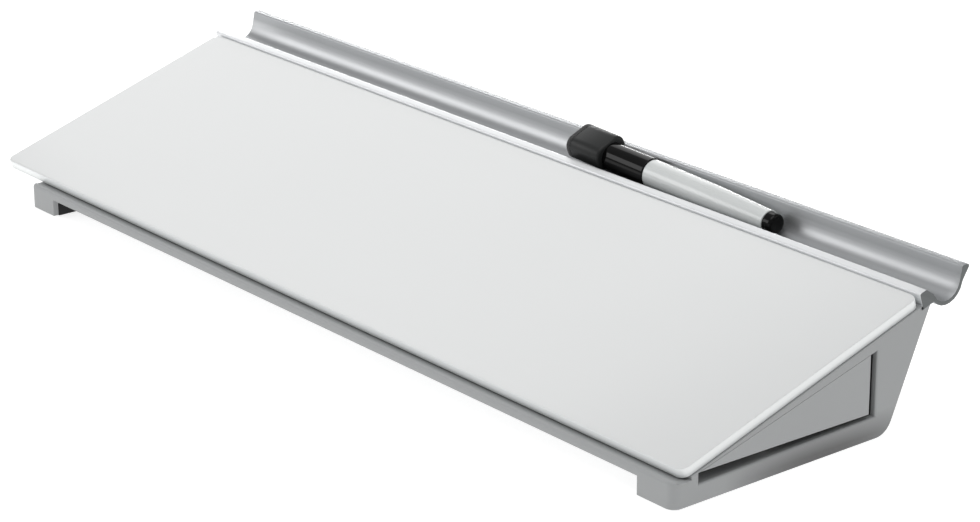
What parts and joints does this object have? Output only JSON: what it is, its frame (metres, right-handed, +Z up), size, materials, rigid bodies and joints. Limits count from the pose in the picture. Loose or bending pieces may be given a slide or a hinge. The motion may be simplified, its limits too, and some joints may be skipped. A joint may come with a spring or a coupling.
{
  "type": "desktop whiteboard easel",
  "caption": "Sloped glass dry-erase board on a grey wedge base with a sliding side drawer, a rear aluminium pen tray and a capped marker with an eraser head.",
  "frame": {"origin": "on the desk, under the middle of the whole object's length and depth", "axes": "+X along the board to the drawer end, +Y to the back where the pen tray is, +Z up"},
  "size_m": [0.4586, 0.1498, 0.0648],
  "materials": {
    "toughened_glass": "clear, polished, bevelled edge",
    "white_film": "smooth white",
    "steel_sheet": "zinc plated",
    "foam_tape": "soft foam",
    "grey_plastic": "fine satin moulding",
    "drawer_plastic": "fine satin moulding",
    "cover_plastic": "matte moulding",
    "nylon": "slippery off-white",
    "screw_steel": "zinc plated",
    "black_rubber": "matte",
    "tray_aluminium": "satin anodised",
    "barrel_plastic": "semi-gloss light grey",
    "black_plastic": "semi-gloss black",
    "nib_holder_plastic": "semi-gloss",
    "nib_fibre": "ink-soaked pressed fibre",
    "filler_fibre": "wrapped fibre",
    "felt": "pressed felt",
    "liner_plastic": "soft natural",
    "magnet": "nickel plated"
  },
  "bodies": {
    "base": {"glass_panel": "toughened_glass", "white_film": "white_film", "steel_sheet": "steel_sheet", "foam_tape_strips": "foam_tape", "base_shell": "grey_plastic", "bottom_cover": "cover_plastic", "cover_screws": "screw_steel", "pen_tray": "tray_aluminium", "tray_screws": "screw_steel", "rubber_foot_front_left": "black_rubber", "rubber_foot_front_right": "black_rubber", "rubber_foot_rear_left": "black_rubber", "rubber_foot_rear_right": "black_rubber", "drawer_runner_front": "nylon", "drawer_runner_rear": "nylon", "drawer_stop": "nylon"},
    "drawer": {"drawer_box": "drawer_plastic", "drawer_front": "drawer_plastic", "drawer_front_screws": "screw_steel"},
    "marker": {"marker_barrel": "barrel_plastic", "marker_end_plug": "black_plastic", "marker_nib_holder": "nib_holder_plastic", "marker_nib": "nib_fibre", "marker_filler": "filler_fibre"},
    "cap": {"marker_cap": "black_plastic", "cap_liner": "liner_plastic", "eraser_block": "black_plastic", "eraser_felt": "felt", "cap_magnet": "magnet"}
  },
  "joints": [
    {"name": "drawer_slide", "type": "slide", "parent": "base", "child": "drawer", "axis": [1, 0, 0], "range_m": [0, 0.14]},
    {"name": "marker_lift", "type": "slide", "parent": "base", "child": "marker", "axis": [0, 0, 1], "range_m": [0, 0.04]},
    {"name": "cap_pull", "type": "slide", "parent": "marker", "child": "cap", "axis": [-0.9994, 0, 0.0358], "range_m": [0, 0.045]}
  ]
}
